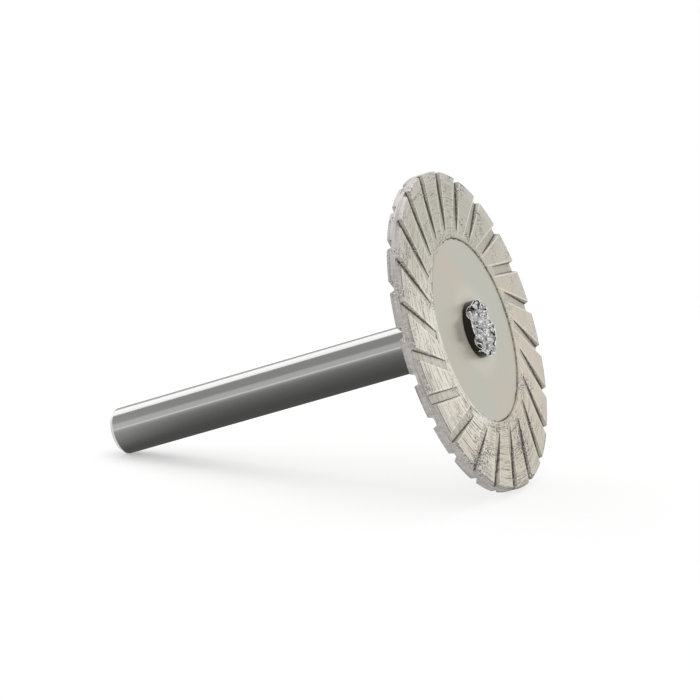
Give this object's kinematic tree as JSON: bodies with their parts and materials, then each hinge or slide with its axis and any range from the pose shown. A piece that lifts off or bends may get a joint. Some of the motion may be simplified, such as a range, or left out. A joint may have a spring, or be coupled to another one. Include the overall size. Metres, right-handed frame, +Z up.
{
  "type": "diamond cutting disc",
  "caption": "Small diamond cutting disc with slanted grooves round its rim, riveted on a straight shank, lying tipped on its rim and the shank's end.",
  "frame": {"origin": "bottom centre of the box round the disc as it lies on its rim and the shank's end", "axes": "+X runs along the floor from the shank's free end to the disc, +Z is up and +Y completes a right-handed frame"},
  "size_m": [0.0555, 0.04, 0.0383],
  "materials": {
    "sintered_rim": "sintered metal powder with diamond grit, ground with fine rings and dark pits",
    "core_steel": "smooth satin steel",
    "shank_steel": "bright drawn steel, with a crumpled hammered rivet head"
  },
  "bodies": {
    "root": {"diamond_rim": "sintered_rim", "steel_core": "core_steel", "shank": "shank_steel"}
  },
  "joints": []
}
